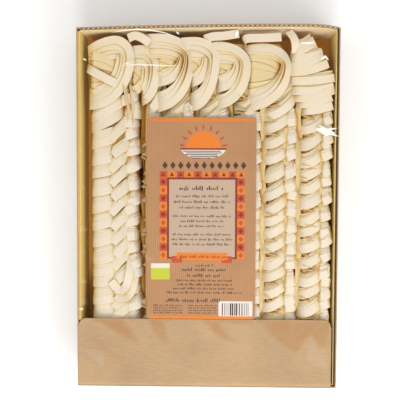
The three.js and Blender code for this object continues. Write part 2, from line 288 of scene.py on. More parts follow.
def clear_film(name, painted_highlight_share):
    """Oriented polypropylene film: clear, with a sharp gloss; its matt white share paints highlights on creases.
    """
    material, tree, _ = new_material(name)
    through = add(tree, "ShaderNodeBsdfTransparent", {0: (1, 1, 1, 1)})
    gloss = add(tree, "ShaderNodeBsdfGlossy", {0: (1, 1, 1, 1), "Roughness": 0.08})
    painted_white = add(tree, "ShaderNodeBsdfDiffuse", {0: linear(0xFFFDF5)})
    edge = add(tree, "ShaderNodeFresnel", {0: 1.12})
    clear = add(tree, "ShaderNodeMixShader", {0: edge, 1: through, 2: gloss})
    surface = add(tree, "ShaderNodeMixShader", {0: painted_highlight_share, 1: clear, 2: painted_white})
    add(tree, "ShaderNodeOutputMaterial", {0: surface})
    return material


# ---------------------------------------------------------------- meshes

def evenly(low, high, steps):
    """Gives the values from low to high in even steps, with both ends."""
    return [low + (high - low) * i / steps for i in range(steps + 1)]


def circle(degrees):
    """Gives the cosine and the sine of an angle."""
    return math.cos(math.radians(degrees)), math.sin(math.radians(degrees))


def between(value):
    """Keeps a value between 0 and 1."""
    return min(1.0, max(0.0, value))


def add_object(name, data):
    """Puts a new object at the origin of the scene."""
    made = bpy.data.objects.new(name, data)
    bpy.context.collection.objects.link(made)
    return made


def finish_piece(name, builder, materials, smooth_angle=math.radians(35)):
    """Makes one object at the origin from a bmesh in millimetres."""
    mesh = bpy.data.meshes.new(name)
    for vertex in builder.verts:
        vertex.co *= MM
    builder.to_mesh(mesh)
    builder.free()
    for material in materials:
        mesh.materials.append(material)
    mesh.shade_smooth()
    mesh.set_sharp_from_angle(angle=smooth_angle)
    return add_object(name, mesh)


def loft(builder, rings, material=0):
    """Joins rings of points into a closed skin with a flat face at each end."""
    rows = [[builder.verts.new(point) for point in ring] for ring in rings]
    count = len(rows[0])
    for low, high in zip(rows, rows[1:]):
        for i in range(count):
            j = (i + 1) % count
            builder.faces.new((low[i], low[j], high[j], high[i])).material_index = material
    builder.faces.new(rows[0][::-1]).material_index = material
    builder.faces.new(rows[-1]).material_index = material


def block(builder, low, high, material):
    """Adds a box between two corners."""
    (x0, y0, z0), (x1, y1, z1) = low, high
    square = [(x0, y0), (x1, y0), (x1, y1), (x0, y1)]
    loft(builder, [[(x, y, z) for x, y in square] for z in (z0, z1)], material)


def close_sheet(builder, front, back):
    """Joins a front and a back grid of points into a closed sheet, the front facing up."""
    rows, columns = len(front) - 1, len(front[0]) - 1
    for j in range(rows):
        for i in range(columns):
            builder.faces.new((front[j][i], front[j][i + 1], front[j + 1][i + 1], front[j + 1][i]))
            builder.faces.new((back[j][i], back[j + 1][i], back[j + 1][i + 1], back[j][i + 1]))
    for j in range(rows):
        builder.faces.new((front[j][0], front[j + 1][0], back[j + 1][0], back[j][0]))
        builder.faces.new((front[j + 1][columns], front[j][columns], back[j][columns], back[j + 1][columns]))
    for i in range(columns):
        builder.faces.new((front[0][i + 1], front[0][i], back[0][i], back[0][i + 1]))
        builder.faces.new((front[rows][i], front[rows][i + 1], back[rows][i + 1], back[rows][i]))


def rounded_rectangle(half_x, half_y, radius):
    """Gives the outline of a rectangle with round corners, anticlockwise from its lower right corner."""
    outline = []
    for side_x, side_y, start in ((1, -1, -90), (1, 1, 0), (-1, 1, 90), (-1, -1, 180)):
        for angle in evenly(start, start + 90, 5):
            c, s = circle(angle)
            x, y = side_x * (half_x - radius) + radius * c, side_y * (half_y - radius) + radius * s
            outline.append((x, y))
    return outline


def rounding(past, radius):
    """Gives how far a round corner's edge is drawn in at a place that lies past the corner's start."""
    return 0.0 if past <= 0 else radius - math.sqrt(max(0.0, radius * radius - past * past))


def bow(x, y, z):
    """Gives how far the top wall is pushed out at a place, most at its rim's right part, not at its foot."""
    share = x / TRAY["width"] + 0.5
    if not 0 < share < 1 or y < HALF_Y - 6:
        return 0.0
    widest = BOW["widest"]
    along = 1 - (1 - share / widest) ** 2 if share < widest else 1 - ((share - widest) / (1 - widest)) ** 4
    return BOW["rim"] * along * (max(0.0, z) / TRAY["depth"]) ** 3


def wall_ring(builder, out, thick, low, high, corner, material, painted_lit_end_material=None):
    """Adds an upright wall round the tray, whose outer face lies out millimetres inside the tray's edge.

    The top wall's inner face takes the end material, painted paler as lit, if there is one.
    """
    half_x, half_y = HALF_X - out, HALF_Y - out
    outer = rounded_rectangle(half_x, half_y, corner)
    inner = rounded_rectangle(half_x - thick, half_y - thick, max(0.3, corner - thick))
    middle = len(outer) // 2
    for outline in (outer, inner):
        # The top wall bows, so its straight stretch, between the outline's two middle points, is cut finely.
        (x0, y0), (x1, _) = outline[middle - 1], outline[middle]
        outline[middle:middle] = [(x, y0) for x in evenly(x0, x1, 32)[1:-1]]
        # The rim is lower under the flap, so the left and the bottom wall have points where the flap ends.
        corner_at = next(i for i, (x, y) in enumerate(outline) if x < 0 and y < 0)
        left = outline[corner_at][0]
        outline[corner_at:corner_at] = [(left, FLAP["edge"]), (left, FLAP["edge"] - 1.5)]
        outline.append((FLAP["right"], outline[0][1]))

    def lowered(x, y, z):
        """Gives the height of a point of the wall, whose upper part is lower where the flap covers it."""
        covered = y < FLAP["edge"] - 1 and x < FLAP["right"] + 0.1
        return z - (FLAP["rim_drop"] if covered and z > 0.9 * high else 0.0)

    levels = evenly(low, high, 8)
    section = [(outer, z) for z in levels] + [(inner, z) for z in reversed(levels)]
    rows = [[builder.verts.new((x, y + bow(x, y, z), lowered(x, y, z))) for x, y in outline]
            for outline, z in section]
    for a, b in zip(rows, rows[1:] + rows[:1]):
        for i in range(len(outer)):
            j = (i + 1) % len(outer)
            at_end = min(a[i].co.y, a[j].co.y) > half_y - thick - 0.1 and painted_lit_end_material is not None
            builder.faces.new((a[i], a[j], b[j], b[i])).material_index = painted_lit_end_material if at_end else material


# ---------------------------------------------------------------- node trees

def start_tree(name, lengths):
    """Starts a Geometry Nodes tree with a geometry, the named lengths and a material as its inputs."""
    tree = bpy.data.node_groups.new(name, "GeometryNodeTree")
    for way in ("INPUT", "OUTPUT"):
        tree.interface.new_socket("Geometry", in_out=way, socket_type="NodeSocketGeometry")
    for label, millimetres in lengths.items():
        socket = tree.interface.new_socket(label, in_out="INPUT", socket_type="NodeSocketFloat")
        socket.default_value = millimetres * MM
    tree.interface.new_socket("Material", in_out="INPUT", socket_type="NodeSocketMaterial")
    return tree, add(tree, "NodeGroupInput").outputs


def end_tree(tree, geometry, material):
    """Ends a tree with its geometry made real and given its material."""
    whole = add(tree, "GeometryNodeRealizeInstances", {0: geometry})
    whole = add(tree, "GeometryNodeSetMaterial", {0: whole, "Material": material})
    add(tree, "NodeGroupOutput", {0: whole})


def ribbon_tree():
    """Sweeps a flat ribbon with cut edges along every path of its mesh."""
    tree, start = start_tree("Pasta ribbons", {"Width": RIBBON["width"], "Thickness": RIBBON["thickness"]})
    facing = add(tree, "GeometryNodeInputNamedAttribute", {"Name": "facing"}, data_type="FLOAT_VECTOR")
    size = add(tree, "GeometryNodeInputNamedAttribute", {"Name": "size"}, data_type="FLOAT")
    path = add(tree, "GeometryNodeMeshToCurve", {0: start["Geometry"]})
    path = add(tree, "GeometryNodeSetCurveNormal", {0: path, "Normal": facing}, mode="FREE")
    section = add(tree, "GeometryNodeCurvePrimitiveQuadrilateral",
                  {"Width": start["Thickness"], "Height": start["Width"]})
    radius = add(tree, "ShaderNodeMath", {0: start["Thickness"], 1: 0.3}, operation="MULTIPLY")
    section = add(tree, "GeometryNodeFilletCurve", {0: section, "Count": 1, "Radius": radius}, mode="POLY")
    swept = add(tree, "GeometryNodeCurveToMesh", {0: path, 1: section, "Scale": size, "Fill Caps": True})
    end_tree(tree, swept, start["Material"])
    return tree


def flute_tree():
    """Sweeps a thin upright strip along a path and waves it from side to side."""
    tree, start = start_tree("Flutes", {"Pitch": FLUTES["pitch"], "Height": FLUTES["height"],
                                        "Thickness": FLUTES["paper"], "Depth": FLUTES["deep"]})
    path = add(tree, "GeometryNodeMeshToCurve", {0: start["Geometry"]})
    path = add(tree, "GeometryNodeResampleCurve", {0: path, "Count": 640})
    x = add(tree, "ShaderNodeSeparateXYZ", {0: add(tree, "GeometryNodeInputPosition")})
    wave = add(tree, "ShaderNodeMath", {0: x, 1: start["Pitch"]}, operation="DIVIDE")
    wave = add(tree, "ShaderNodeMath", {0: wave, 1: 2 * math.pi}, operation="MULTIPLY")
    wave = add(tree, "ShaderNodeMath", {0: wave}, operation="SINE")
    half = add(tree, "ShaderNodeMath", {0: start["Height"], 1: 0.5}, operation="MULTIPLY")
    offset = add(tree, "ShaderNodeMath", {0: wave, 1: half}, operation="MULTIPLY")
    shift = add(tree, "ShaderNodeCombineXYZ", {1: offset})
    path = add(tree, "GeometryNodeSetPosition", {0: path, "Offset": shift})
    path = add(tree, "GeometryNodeSetCurveNormal", {0: path}, mode="Z_UP")
    section = add(tree, "GeometryNodeCurvePrimitiveQuadrilateral",
                  {"Width": start["Thickness"], "Height": start["Depth"]})
    swept = add(tree, "GeometryNodeCurveToMesh", {0: path, 1: section, "Fill Caps": True})
    end_tree(tree, swept, start["Material"])
    return tree


def run_tree(piece, tree, values):
    """Runs a node tree on a piece with the inputs named in values, and keeps the result as a plain mesh."""
    modifier = piece.modifiers.new("Tree", "NODES")
    modifier.node_group = tree
    for item in tree.interface.items_tree:
        if item.in_out == "INPUT" and item.name in values:
            modifier[item.identifier] = values[item.name]
    evaluated = piece.evaluated_get(bpy.context.evaluated_depsgraph_get())
    made = bpy.data.meshes.new_from_object(evaluated)
    piece.modifiers.clear()
    piece.data = made
    return made


# ---------------------------------------------------------------- pasta nests

class RibbonPaths:
    """Ribbons' middle lines, with the way each faces and how deep it lies, as points and edges of a mesh."""

    def __init__(self):
        self.points, self.facings, self.shades, self.sizes, self.edges = [], [], [], [], []
        self.tones = random.Random(5)

    def add(self, way, crown, shade=0.0, size=1.0):
        """Adds a path. Way holds each point and the way the ribbon faces there. Crown lies in full light, and
        shade is painted shade.
        """
        points = [Vector(point) for point, _ in way]
        first, last = len(self.points), len(points) - 1
        shade += 0.07 * self.tones.random() ** 2
        for i, point in enumerate(points):
            along = (points[min(i + 1, last)] - points[max(i - 1, 0)]).normalized()
            facing = Vector(way[i][1])
            self.points.append(point)
            self.facings.append((facing - along * along.dot(facing)).normalized())
            # Painted shade: the further a point lies below the crown, the deeper its shade.
            self.shades.append(shade + max(0.0, crown - point.z - 2.0) / 20)
            self.sizes.append(size)
        self.edges += [(first + i, first + i + 1) for i in range(last)]

    def to_object(self, name):
        mesh = bpy.data.meshes.new(name)
        mesh.from_pydata([point * MM for point in self.points], self.edges, [])
        facings = [value for facing in self.facings for value in facing]
        mesh.attributes.new("facing", "FLOAT_VECTOR", "POINT").data.foreach_set("vector", facings)
        for label, values in (("shade", self.shades), ("size", self.sizes)):
            mesh.attributes.new(label, "FLOAT", "POINT").data.foreach_set("value", values)
        return add_object(name, mesh)


def lean(y):
    """Gives how far a nest has leaned to the left at this place along the tray."""
    return 17 * max(0.0, (y - 112) / 40) ** 2


def place(nest, across, y):
    """Gives X at a share of a nest's width.

    The first nest's left side is upright, and the nest is wider towards its foot.
    """
    x = nest["left"] + across * (nest["right"] - nest["left"])
    if nest is not NESTS[0]:
        return x - lean(y)
    return x - lean(y) * max(0.0, across) + FOOT_SPREAD * between((-y - 10) / 45) * between(2 * across)


def power(value, exponent):
    """Raises a value's size to a power and keeps its sign."""
    return math.copysign(abs(value) ** exponent, value)


def arch(nest, lobe, y, rng, climb, sag, inset, tilt, crown=None, slope=0.0, square=0.78, left_square=None,
         bend=2.2, belly=0.8):
    """Gives the path of one ribbon over a lobe of a nest, from the left flank over the front to the right one.

    A lobe is given as its first and last share of the nest's width and the steps of the path. The lower square
    is, the boxier the lobe. Climb with its bend, slope, and sag with its belly move the ribbon along the tray.
    """
    start, end, steps = lobe
    crown = crown or nest["crown"]
    if y < FLAP["edge"] + 6:
        crown = min(crown, UNDER_FLAP - 1.2)
    waist = NEST_FOOT + 0.45 * (crown - NEST_FOOT)
    swing, phase = rng.uniform(0.15, 0.5), rng.uniform(0, 6.28)
    way = []
    for angle in evenly(205.0, -25.0, steps):
        c, s = circle(angle)
        high = max(0.0, s)
        boxy = left_square if left_square and c <= 0 else square
        share = 0.5 + 0.5 * power(c, boxy) if s > 0 else (1.0 if c > 0 else 0.0)
        rise = climb * share ** bend - sag * math.sin(math.pi * share ** belly) + slope * (share - 0.5)
        at_y = y + rise + swing * math.sin(phase + 5 * share)
        z = waist + (crown - waist) * power(high, boxy)
        if s < 0:
            z = waist + s * 26
            at_y += 0.1 * (waist - z) * (1 if c > 0 else -1)
        out = Vector((power(c, 2 - boxy), 0.0, power(high, 2 - boxy))).normalized()
        point = Vector((place(nest, start + (end - start) * share, at_y), at_y, z)) - out * (inset + 0.5)
        way.append((point, out + Vector((0, (tilt[0] + (tilt[1] - tilt[0]) * share) * high ** 0.5, 0))))
    return way


def band(paths, nest, lobe, y, rng, stack, shade=0.0, spread=(1.1, 2.1), fan=(-1.2, 0.9), sink=(0.3, 0.6),
         climb=0.0, sag=0.0, inset=0.0, tilt=(0.2, 0.05), **shape):
    """Lays one band on a lobe: a stack of ribbons, each a little further up than the one over it.

    Spread, fan and sink are the least and the most by which each starts higher, climbs more and lies deeper.
    """
    left, right = tilt
    for layer in range(stack):
        way = arch(nest, lobe, y, rng, climb, sag + rng.uniform(-0.2, 0.2), inset,
                   (left + rng.uniform(-0.04, 0.04), right + rng.uniform(-0.04, 0.04)), **shape)
        paths.add(way, nest["crown"], shade, rng.uniform(0.96, 1.04))
        y += rng.uniform(*spread)
        climb += rng.uniform(*fan)
        inset += rng.uniform(*sink)


def hoop(paths, index, rng, inward, drop):
    """Lays one ribbon of a top turn: up the front, round the right flank, and back left over the top."""
    nest, turn = NESTS[index], TURNS[index]
    crown = nest["crown"] - 0.6 - drop
    # From the third nest on, a turn comes out from under its left neighbour's.
    left = TURNS[index - 1]["flank"] - 4 if index > 1 else nest["left"] + 0.8
    if index == 0:
        left = place(nest, 0.1, 0)
    flank = turn["flank"] - HALF_RIBBON - inward + rng.uniform(-0.3, 0.3)
    side = turn["side"] + rng.uniform(-2.5, 2.5)
    top = turn["top"] - HALF_RIBBON - 1.4 * inward
    start = turn["start"] + turn["fan"] * inward
    peak = min(turn["peak"] + rng.uniform(-3.5, 3.5), flank - 1.5)
    sway = rng.uniform(-0.7, 0.7)
    fall = turn["fall"] + rng.uniform(-1.5, 1.5)
    way = []
    # Up the left flank
    for t in evenly(0, 1, 5)[:-1]:
        point = (left - 0.6 * (1 - t), start - 3.2 * (1 - t), crown - 6 - 15 * (1 - t))
        way.append((point, (-1, 0, 0.15 * t)))
    # Over the front, with the first 18 degrees still on the left flank's edge
    for angle in evenly(-90, 0, 20):
        c, s = circle(angle)
        edge = max(0.0, 1 - (angle + 90) / 18)
        at_y = side + (side - start) * s + sway * math.sin(4 * c)
        way.append(((left + (flank - left) * c, at_y, crown - 6 * edge ** 2 - 0.8 * c ** 6),
                    (-1.2 * edge + turn["open"] * c ** 6, 0.10 * (1 - c), 1.0)))
    # Round the right flank to the highest place
    for angle in evenly(0, 90, 14)[1:]:
        c, s = circle(angle)
        way.append(((peak + (flank - peak) * c, side + (top - side) * s, crown - 0.8 * c ** 3 - 0.8 * s),
                    (turn["open"] * c ** 3, 0.10 * s, 1.0)))
    # Back to the left and down
    for t in evenly(0, 1, 8)[1:]:
        way.append(((peak - (peak - turn["end"]) * t, top - fall * t ** 1.6, crown - 0.8 - 6 * t ** 2.6),
                    (-0.7 * t ** 2, 0.10, 1.0)))
    # The turn's ribbons are painted a little in shade.
    paths.add(way, nest["crown"], 0.06, rng.uniform(0.92, 1.02))


def loose_ribbon(paths, points, size=1.0):
    """Lays a free stretch of ribbon, smoothed, through a few points that may carry the way it faces."""
    marks = [Vector(point[:3]) for point in points]
    ways = [Vector(point[3:6] or (0, 0.1, 1)) for point in points]
    last = len(marks) - 1
    smooth = []
    for k in range(last):
        before, a, b, after = marks[max(k - 1, 0)], marks[k], marks[k + 1], marks[min(k + 2, last)]
        for t in evenly(0, 1, 6)[:None if k == last - 1 else -1]:
            point = 0.5 * ((2 * a) + (b - before) * t + (2 * before - 5 * a + 4 * b - after) * t * t
                           + (3 * a - before - 3 * b + after) * t ** 3)
            smooth.append((point, ways[k].lerp(ways[k + 1], t)))
    paths.add(smooth, OPEN_HEIGHT, 0.0, size)


def nest_core(nest):
    """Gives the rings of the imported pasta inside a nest, lower under the flap and under the top turn."""
    rings = []
    foot = NEST_FOOT + 0.5
    for y in evenly(NEST_START + 3, nest["top"] - 7, 23):
        taper = min(1.0, (nest["top"] - y) / 45)
        left = place(nest, LEFT_BANDS if nest is NESTS[0] else 0.0, y) + 1.8
        right = place(nest, 1.0, y) - 1.8
        crown = min(nest["crown"], UNDER_FLAP) if y < FLAP["edge"] + 6 else nest["crown"]
        under_turn = 0.0 if nest is NESTS[-1] else 3.4 * between((y - 76) / 8)
        high = (crown - 3.2 - under_turn) * (0.88 + 0.12 * taper)
        ring = []
        for angle in evenly(0, 360, 18)[:-1]:
            c, s = circle(angle)
            boxy = 0.5 if c > 0 else 0.6
            ring.append(((left + right) / 2 + (right - left) / 2 * power(c, boxy), y,
                         (foot + high) / 2 + (high - foot) / 2 * power(s, boxy)))
        rings.append(ring[::-1])
    return rings


def lay_nest(paths, index, rng):
    """Lays the bands and the top turn of one nest."""
    nest, turn = NESTS[index], TURNS[index]
    width = nest["right"] - nest["left"]
    first_band = NEST_START + 4
    if index == 0:
        lay_first_nest(paths, nest, turn, rng)
    else:
        y = first_band
        while y < (turn["start"] + 9 if turn else LAST_WIDE_END):
            stack = rng.choice((3, 4, 4, 5, 6))
            lay_wide_band(paths, nest, turn, y, stack, rng)
            y += rng.uniform(7.2, 8.6) + LAYER_STEP * (stack - 1)
            lay_pocket(paths, nest, y - 4.6, rng)
        if not turn:
            lay_leaning_top(paths, nest, y, rng)
    y = first_band + nest["climb"]
    while y < NARROW_END["other" if index else "first"]:
        stack = rng.choice((2, 3, 4, 6, 7))
        lay_narrow_band(paths, nest, y, stack, rng)
        y += 5.6 + LAYER_STEP * (stack - 1) * rng.uniform(0.9, 1.15)
    if index == 0:
        for side in (-0.9, 0.9):
            lay_valley(paths, nest, nest["crease"] * width + side, 4.4, rng, 0.7)
    if index == 1:
        lay_valley(paths, nest, 2.0, 11.0, rng, 0.2)
    if 0 < index < len(NESTS) - 1:
        lay_valley(paths, nest, width + 0.3, 6.5, rng, 0.0)
    if turn:
        lay_top(paths, index, rng)
    for points in LOOSE.get(index, ()):
        loose_ribbon(paths, points)


def lay_first_nest(paths, nest, turn, rng):
    """Lays the first nest's left bands, level below and steep above, and the slanted bands over them."""
    y = NEST_START + 4
    while y < turn["start"] + 4:
        steeper = between((y - 46) / 26) ** 1.3
        under_turn = 2.4 if y > turn["start"] - 8 else 0.0
        stack = rng.choice((3, 4, 6, 7))
        band(paths, nest, (LEFT_BANDS, 0.64 + 0.16 * steeper, 18), y, rng, stack, climb=7 + 10 * steeper,
             sag=0.3 + steeper, square=0.72, inset=0.6 * (1 - steeper) + under_turn, tilt=(0.05, 0.03),
             spread=(1.2, 1.9), bend=1.2, sink=(0.08, 0.28))
        y += 6.4 + LAYER_STEP * (stack - 1) * rng.uniform(0.9, 1.1)
    y = NEST_START + 4
    while y < 68:
        lay_leaf(paths, nest, y, rng)
        y += LEAF_PITCH * rng.uniform(0.88, 1.14)
    # Where the slanted bands end, two strands run up the crease on edge.
    for k in range(2):
        x = -70.5 + 4.6 * k + rng.uniform(-1, 1)
        high = 43.4 - 0.9 * k
        points = [(x - 3, 114 - 5 * k, high - 3), (x + rng.uniform(-2, 0), 101, high),
                  (x + rng.uniform(0, 2), 87 - 4 * k, high), (x + rng.uniform(-1, 3), 70 - 6 * k, high - 3)]
        loose_ribbon(paths, [point + (0.7 + 0.2 * k, 0.1, 0.6) for point in points], size=0.85)


def lay_wide_band(paths, nest, turn, y, stack, rng):
    """Lays one broad band. Upwards the bands grow steeper, take the whole width and pass under the turn."""
    sunk = 3.0 if turn and y > turn["start"] - 5 else 0.0
    near_top = between((y - 62) / 24)
    start = 0.2 if nest is NESTS[1] else -0.1
    edge = nest["crease"] + 0.04 + (0.94 - nest["crease"]) * near_top
    band(paths, nest, (start, edge, 22), y, rng, stack,
         climb=nest["climb"] * rng.uniform(0.8, 1.15) + 4 * near_top, sag=rng.uniform(0.8, 4.2),
         crown=nest["crown"] - rng.uniform(0, 0.9) - sunk, square=0.62, left_square=0.86, spread=(0.7, 1.5),
         fan=(0.1, 1.2), belly=rng.uniform(0.5, 0.9),
         tilt=(rng.uniform(0.02, 0.22), rng.uniform(-0.04, 0.05)))


def lay_narrow_band(paths, nest, y, stack, rng):
    """Lays one short band of the narrow lobe beside the crease, rounder and less even than a broad one."""
    lobe = (nest["crease"] - rng.uniform(0.1, 0.18), 1.02 - rng.uniform(0, 0.07), 14)
    # A shade below zero paints these rounder lobes paler than their own shade would leave them.
    band(paths, nest, lobe, y, rng, stack, slope=rng.uniform(-2.5, 6.5), sag=rng.uniform(-0.4, 2.6),
         crown=nest["crown"] + 0.3 - rng.uniform(0, 1.1), shade=-0.1,
         tilt=(rng.uniform(-0.05, 0.16), rng.uniform(-0.05, 0.05)), spread=(1.2, 2.0),
         square=rng.uniform(0.46, 0.62))


def lay_leaning_top(paths, nest, y, rng):
    """Lays the last nest's top: broad, almost level bands that lean to the left, with stepped cut ends."""
    while y < nest["top"] - 4:
        rise = rng.uniform(2.5, 8.5)
        near = 71.5 + (0.006 if y > 118 else 0.012) * (y - 118) ** 2
        cut = 110.5 - 0.73 * max(0.0, y + rise - 123) + rng.uniform(-2.0, 0.6)
        sag = rng.uniform(0.4, 2.4)
        for layer in range(3):
            far = cut - rng.uniform(0.6, 2.6) * layer
            way = []
            for t in evenly(0, 1, 16):
                at_y = y + rise * t ** 1.5 - sag * math.sin(math.pi * t) + 1.4 * layer
                left_dip, right_dip = 7 * max(0.0, 1 - t / 0.2) ** 2, 14 * max(0.0, t - 0.65) ** 2
                z = nest["crown"] - 0.2 - 0.7 * layer - left_dip - right_dip
                way.append(((near + (far - near) * t, at_y, z),
                            (-0.7 * max(0.0, 1 - t / 0.25) + 0.6 * t ** 3, rng.uniform(0.02, 0.08), 1)))
            # These bands are painted a little in shade.
            paths.add(way, nest["crown"], 0.05, rng.uniform(0.94, 1.04))
        y += rng.uniform(3.6, 8.4)


def lay_top(paths, index, rng):
    """Lays a nest's top turn: hoops close inside each other, and the fan of strips that fills them."""
    turn = TURNS[index]
    inward = 0.0
    for layer in range(turn["hoops"]):
        hoop(paths, index, rng, inward, 0.45 * layer)
        inward += rng.choice((0.4, 0.7, 1.0, 1.9)) * turn["step"]
    top = turn["top"] - HALF_RIBBON - 1.4 * inward - turn["gap"]
    low = turn["start"] + turn["fan"] * inward - 4
    far = turn["flank"] - inward - HALF_RIBBON
    for down in evenly(0, 1, max(4, round((top - low) / 5.2)) - 1):
        sunk = 1.0 + 0.4 * turn["hoops"] + 0.8 * math.sin(math.pi * down)
        for layer in range(2):
            start = top + (low - top) * down + 1.5 * layer
            strip(paths, index, rng, start, far, -8 + 20 * down ** 1.3, sunk + 0.6 * layer, down)


def strip(paths, index, rng, y, far, rise, sunk, down):
    """Lays one ribbon inside a top turn, from under the left neighbour to its dive under the right flank."""
    nest = NESTS[index]
    near = TURNS[index - 1]["flank"] - 3 if index else place(nest, 0.12, y)
    y += rng.uniform(-1.2, 1.2)
    rise += rng.uniform(-2.5, 2.5)
    wave, bend = rng.uniform(-0.4, 0.4), rng.uniform(1.7, 2.3)
    sunk += rng.uniform(0, 0.4)
    way = []
    for t in evenly(0, 1, 16):
        at_y = y + rise * t ** bend + wave * math.sin(5 * t)
        dive = 5 * max(0.0, 1 - t / 0.15) ** 2 + 3 * max(0.0, (t - 0.75) / 0.25) ** 2
        way.append(((near + (far - near) * t, at_y, nest["crown"] - sunk - dive),
                    (-0.6 * max(0.0, 1 - t / 0.2) + 0.5 * t ** 4, 0.25 * (0.5 - down), 1)))
    # The strips inside a turn are painted in shade, yellower than the hoops.
    paths.add(way, nest["crown"], 0.2, rng.uniform(0.94, 1.04))


def lay_pocket(paths, nest, y, rng):
    """Lays up to two short slanted ribbons under the left half of a band, where the bands leave a pocket."""
    for k in range(rng.choice((0, 1, 2))):
        across = rng.uniform(0.06, 0.2)
        z = nest["crown"] - rng.uniform(3.2, 5.0)
        fall = rng.uniform(-2, 5)
        way = []
        for t in evenly(0, 1, 5):
            at_y = y + 3.0 * k + fall * (0.5 - t)
            x = place(nest, across + 0.34 * t, at_y)
            way.append(((x, at_y, z + 1.5 * math.sin(math.pi * t)), (0, 0.9, 0.7)))
        # Pocket ribbons are painted a little in shade.
        paths.add(way, nest["crown"], 0.12, 0.7)


def lay_valley(paths, nest, across, sunk, rng, on_edge_share):
    """Lays a few ribbons lengthwise, flat or on edge, in the valley where the strands dive under a lobe."""
    y = NEST_START + rng.uniform(2, 10)
    share = across / (nest["right"] - nest["left"])
    while y < VALLEY_END - 10:
        end = min(VALLEY_END, y + rng.uniform(22, 60))
        on_edge = rng.random() < on_edge_share
        phase, swing = rng.uniform(0, 6.28), rng.uniform(0.3, 1.2)
        turned = rng.uniform(-0.7, 0.7)
        facing = (1.0, 0, 0.15) if on_edge else (turned, 0, 1)
        way = []
        for t in evenly(0, 1, max(3, round((end - y) / 4))):
            at_y = y + (end - y) * t
            dip = 2.5 * (1 - max(0.0, math.sin(math.pi * t)) ** 0.5)
            x = place(nest, share, at_y) + swing * math.sin(phase + at_y / 6)
            way.append(((x, at_y, nest["crown"] - sunk - dip), facing))
        # Painted shade: the deeper a valley lies, the more its ribbons are painted in shade.
        paths.add(way, nest["crown"] - 1, 0.04 * sunk - 0.1, 0.8)
        y = end - rng.uniform(0, 8)


def lay_leaf(paths, nest, y, rng):
    """Lays one slanted band of the first nest, from its cut ends over the level bands to the crease."""
    reach = rng.uniform(10.5, 16.5)
    inset = rng.uniform(0.0, 0.5)
    start = 0.5 + rng.uniform(-0.03, 0.035)
    for layer in range(5):
        way = []
        for t in evenly(0, 1, 12):
            at_y = y + reach * t ** 0.9
            z = nest["crown"] + 0.2 - inset - (1 - t) ** 2 - 63 * max(0.0, t - 0.62) ** 2
            x = place(nest, start + 0.31 * t, at_y)
            way.append(((x, at_y, z), (-0.15 + 1.7 * max(0.0, t - 0.5), 0.1, 1)))
        # Each lower layer is painted a little more in shade.
        paths.add(way, nest["crown"], 0.03 * layer, rng.uniform(0.97, 1.04))
        y += rng.uniform(1.0, 1.8)
        start += 0.008
        inset += 0.22


# ---------------------------------------------------------------- flap, flutes, label and film

# Darker wedges on the flap, each an outline across and along the tray.
DARK_WEDGES = [
    [(-102, -99), (-74, -98), (-68, -107), (-62, -117), (-71, -115), (-82, -109), (-91, -103)],
    [(-52, -98), (-39, -98), (-37, -109), (-34, -120), (-40, -118), (-47, -109)],
    [(-6, -98), (8, -98), (15, -107), (24, -117), (15, -116), (7, -110), (2, -103)],
    [(8, -98), (42, -98), (40, -101), (10, -101)],
    [(45, -99), (109, -99), (107, -122), (100, -122), (93, -110), (85, -118), (81, -126), (69, -122),
     (60, -113)],
    [(-104, -113), (-99, -116), (-86, -127), (-74, -136), (-88, -128), (-100, -119)],
]
DARK_WEDGE_EDGE = 4.0


def wedge_darkness_at(x, y):
    """Gives how much darker the flap's wedges make it at a place, from 0 to 1, with soft edges."""
    deepest = 0.0
    for outline in DARK_WEDGES:
        inside, nearest = False, math.inf
        for (x0, y0), (x1, y1) in zip(outline, outline[1:] + outline[:1]):
            side_x, side_y = x1 - x0, y1 - y0
            if (y0 > y) != (y1 > y) and x < x0 + (y - y0) * side_x / side_y:
                inside = not inside
            share = between(((x - x0) * side_x + (y - y0) * side_y) / (side_x ** 2 + side_y ** 2))
            nearest = min(nearest, math.hypot(x - x0 - share * side_x, y - y0 - share * side_y))
        deepest = max(deepest, min(1.0, 0.5 + (nearest if inside else -nearest) / DARK_WEDGE_EDGE))
    return deepest


def flap(builder):
    """Adds the flap over the foot of the tray, with soft round corners and a gently uneven face."""
    wedge_darkness = builder.verts.layers.float.get("wedge_darkness")

    def point(x, share, under):
        past = max(-HALF_X - x, x - FLAP["right"]) + FLAP["corner"]
        edge = FLAP["edge"] - rounding(past, FLAP["corner"])
        y = -HALF_Y + (edge + HALF_Y) * share
        if under:
            return builder.verts.new((x, y, TRAY["depth"] - TRAY["board"]))
        wave = 0.16 * math.sin(x / 19) * math.sin(y / 13 + 1) + 0.12 * math.sin(x / 41 + y / 17)
        fold = 1.3 * max(0.0, 1 - (y + HALF_Y) / 2.2) ** 2
        vertex = builder.verts.new((x, y, TRAY["depth"] - 0.3 + wave - fold))
        vertex[wedge_darkness] = wedge_darkness_at(x, y)
        return vertex

    face, back = [[[point(x, share, under) for x in evenly(-HALF_X, FLAP["right"], 150)]
                   for share in evenly(0, 1, 40)] for under in (False, True)]
    close_sheet(builder, face, back)


def fluted_strip(name, material, pitch):
    """Makes the fluted paper that shows in the top wall's cut edge, bowed as the wall is."""
    y = HALF_Y - TRAY["board"] / 2
    z = TRAY["depth"] - FLUTES["sunk"] - FLUTES["deep"] / 2
    points = [(x, y + bow(x, y, TRAY["depth"]), z) for x in evenly(-HALF_X + 2.2, HALF_X - 2.2, 48)]
    mesh = bpy.data.meshes.new(name)
    mesh.from_pydata([Vector(point) * MM for point in points], [(i, i + 1) for i in range(48)], [])
    piece = add_object(name, mesh)
    for vertex in run_tree(piece, flute_tree(), {"Material": material, "Pitch": pitch}).vertices:
        x, y, z = vertex.co / MM
        vertex.co.y += (bow(x, y, z) - bow(x, y, TRAY["depth"])) * MM
    return piece


